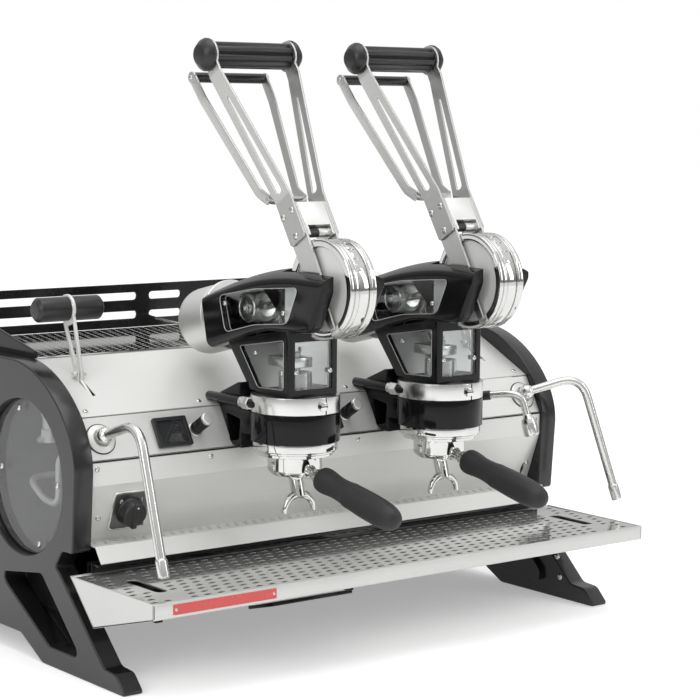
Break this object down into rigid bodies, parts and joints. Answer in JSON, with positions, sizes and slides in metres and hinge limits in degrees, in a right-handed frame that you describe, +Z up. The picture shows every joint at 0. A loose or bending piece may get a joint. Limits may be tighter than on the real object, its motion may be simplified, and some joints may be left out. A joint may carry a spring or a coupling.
{
  "type": "lever espresso machine",
  "caption": "Lever espresso machine for a counter, with tall fork levers over glazed group heads, steam wands, taps, drip tray and railed warming shelf.",
  "frame": {"origin": "on the counter, under the centre of the machine's box", "axes": "+X to the right of someone facing the machine, +Y to its back, +Z up"},
  "size_m": [0.8608, 0.6904, 0.7797],
  "materials": {
    "black_paint": "gloss",
    "polished_steel": "polished",
    "brushed_steel": "brushed",
    "chrome_plate": "mirror",
    "satin_aluminium": "satin",
    "lagging": "matte",
    "rubber_grip": "matte",
    "black_plastic": "matte",
    "screen": "gloss",
    "clear_glass": "clear"
  },
  "bodies": {
    "machine": {"side_plate_left": "black_paint", "side_window_left": "clear_glass", "side_plate_right": "black_paint", "side_window_right": "clear_glass", "upper_cover": "polished_steel", "control_band": "polished_steel", "splash_panel": "polished_steel", "chassis": "black_paint", "cup_tray": "polished_steel", "cup_rail": "black_paint", "drip_tray": "polished_steel", "steam_boiler": "lagging", "switch_plate": "black_plastic", "display_1": "screen", "display_2": "screen", "wand_socket_left": "chrome_plate", "wand_socket_right": "chrome_plate", "group_1_body": "black_paint", "group_1_clamp_ring": "chrome_plate", "group_1_bayonet_ring": "chrome_plate", "group_1_housing": "black_paint", "group_1_spring_can": "satin_aluminium", "group_2_body": "black_paint", "group_2_clamp_ring": "chrome_plate", "group_2_bayonet_ring": "chrome_plate", "group_2_housing": "black_paint", "group_2_spring_can": "satin_aluminium"},
    "lever_1": {"lever_1_fork": "satin_aluminium", "lever_1_wheel": "chrome_plate", "lever_1_arm_left": "brushed_steel", "lever_1_arm_right": "brushed_steel", "lever_1_grip": "rubber_grip"},
    "release_1": {"lever_1_release": "brushed_steel"},
    "spring_rod_1": {"group_1_spring_rod": "brushed_steel", "group_1_spring": "brushed_steel"},
    "brew_piston_1": {"group_1_brew_piston": "brushed_steel"},
    "portafilter_1": {"portafilter_1_body": "chrome_plate", "portafilter_1_handle": "rubber_grip"},
    "selector_1": {"selector_knob_1": "black_plastic"},
    "lever_2": {"lever_2_fork": "satin_aluminium", "lever_2_wheel": "chrome_plate", "lever_2_arm_left": "brushed_steel", "lever_2_arm_right": "brushed_steel", "lever_2_grip": "rubber_grip"},
    "release_2": {"lever_2_release": "brushed_steel"},
    "spring_rod_2": {"group_2_spring_rod": "brushed_steel", "group_2_spring": "brushed_steel"},
    "brew_piston_2": {"group_2_brew_piston": "brushed_steel"},
    "portafilter_2": {"portafilter_2_body": "chrome_plate", "portafilter_2_handle": "rubber_grip"},
    "selector_2": {"selector_knob_2": "black_plastic"},
    "steam_tap_left": {"steam_tap_lever_left": "brushed_steel", "steam_tap_grip_left": "rubber_grip"},
    "steam_wand_left": {"steam_wand_left": "chrome_plate"},
    "steam_tap_right": {"steam_tap_lever_right": "brushed_steel", "steam_tap_grip_right": "rubber_grip"},
    "steam_wand_right": {"steam_wand_right": "chrome_plate"},
    "water_spout": {"water_spout": "chrome_plate"},
    "switch_knob": {"switch_knob": "black_plastic"},
    "tray_grille": {"tray_grille": "polished_steel"}
  },
  "joints": [
    {"name": "lever_1_pull", "type": "hinge", "parent": "machine", "child": "lever_1", "pos_m": [-0.15, -0.215, 0.474], "axis": [1, 0, 0], "range_deg": [0, 110], "stiffness_Nm_per_rad": 6},
    {"name": "release_1_squeeze", "type": "hinge", "parent": "lever_1", "child": "release_1", "pos_m": [-0.15, -0.1175, 0.57912], "axis": [1, 0, 0], "range_deg": [0, 6], "stiffness_Nm_per_rad": 0.8},
    {"name": "spring_rod_1_stroke", "type": "slide", "parent": "machine", "child": "spring_rod_1", "axis": [0, 0.9744, -0.225], "range_m": [0, 0.0241]},
    {"name": "brew_piston_1_stroke", "type": "slide", "parent": "machine", "child": "brew_piston_1", "axis": [0, 0, 1], "range_m": [0, 0.0141]},
    {"name": "portafilter_1_lock", "type": "hinge", "parent": "machine", "child": "portafilter_1", "pos_m": [-0.15, -0.139, 0.262], "axis": [0, 0, 1], "range_deg": [-50, 0]},
    {"name": "selector_1_turn", "type": "hinge", "parent": "machine", "child": "selector_1", "pos_m": [-0.242, -0.04985, 0.28716], "axis": [0, -0.8575, 0.5145], "continuous": true},
    {"name": "lever_2_pull", "type": "hinge", "parent": "machine", "child": "lever_2", "pos_m": [0.09, -0.215, 0.474], "axis": [1, 0, 0], "range_deg": [0, 110], "stiffness_Nm_per_rad": 6},
    {"name": "release_2_squeeze", "type": "hinge", "parent": "lever_2", "child": "release_2", "pos_m": [0.09, -0.1175, 0.57912], "axis": [1, 0, 0], "range_deg": [0, 6], "stiffness_Nm_per_rad": 0.8},
    {"name": "spring_rod_2_stroke", "type": "slide", "parent": "machine", "child": "spring_rod_2", "axis": [0, 0.9744, -0.225], "range_m": [0, 0.0241]},
    {"name": "brew_piston_2_stroke", "type": "slide", "parent": "machine", "child": "brew_piston_2", "axis": [0, 0, 1], "range_m": [0, 0.0141]},
    {"name": "portafilter_2_lock", "type": "hinge", "parent": "machine", "child": "portafilter_2", "pos_m": [0.09, -0.139, 0.262], "axis": [0, 0, 1], "range_deg": [-50, 0]},
    {"name": "selector_2_turn", "type": "hinge", "parent": "machine", "child": "selector_2", "pos_m": [-0.002, -0.04985, 0.28716], "axis": [0, -0.8575, 0.5145], "continuous": true},
    {"name": "steam_tap_left_tilt", "type": "hinge", "parent": "machine", "child": "steam_tap_left", "pos_m": [-0.357, 0.041, 0.35698], "axis": [1, 0, 0], "range_deg": [-15, 20]},
    {"name": "steam_wand_left_swing", "type": "hinge", "parent": "machine", "child": "steam_wand_left", "pos_m": [-0.381, -0.05954, 0.29298], "axis": [0, 0, 1], "range_deg": [-20, 45]},
    {"name": "steam_tap_right_tilt", "type": "hinge", "parent": "machine", "child": "steam_tap_right", "pos_m": [0.297, 0.041, 0.35698], "axis": [1, 0, 0], "range_deg": [-15, 20]},
    {"name": "steam_wand_right_swing", "type": "hinge", "parent": "machine", "child": "steam_wand_right", "pos_m": [0.321, -0.05954, 0.29298], "axis": [0, 0, 1], "range_deg": [-60, 15]},
    {"name": "water_spout_swing", "type": "hinge", "parent": "machine", "child": "water_spout", "pos_m": [0.206, -0.05765, 0.29418], "axis": [0, 0, 1], "range_deg": [-60, 20]},
    {"name": "switch_knob_turn", "type": "hinge", "parent": "machine", "child": "switch_knob", "pos_m": [-0.343, -0.05151, 0.197], "axis": [0, -0.9394, -0.3428], "range_deg": [0, 90]},
    {"name": "tray_grille_lift", "type": "slide", "parent": "machine", "child": "tray_grille", "axis": [0, 0, 1], "range_m": [0, 0.008]}
  ],
  "couplings": [
    {"joint": "spring_rod_1_stroke", "follows": "lever_1_pull", "m_per_rad": 0.0125},
    {"joint": "brew_piston_1_stroke", "follows": "lever_1_pull", "m_per_rad": 0.0073},
    {"joint": "spring_rod_2_stroke", "follows": "lever_2_pull", "m_per_rad": 0.0125},
    {"joint": "brew_piston_2_stroke", "follows": "lever_2_pull", "m_per_rad": 0.0073}
  ]
}
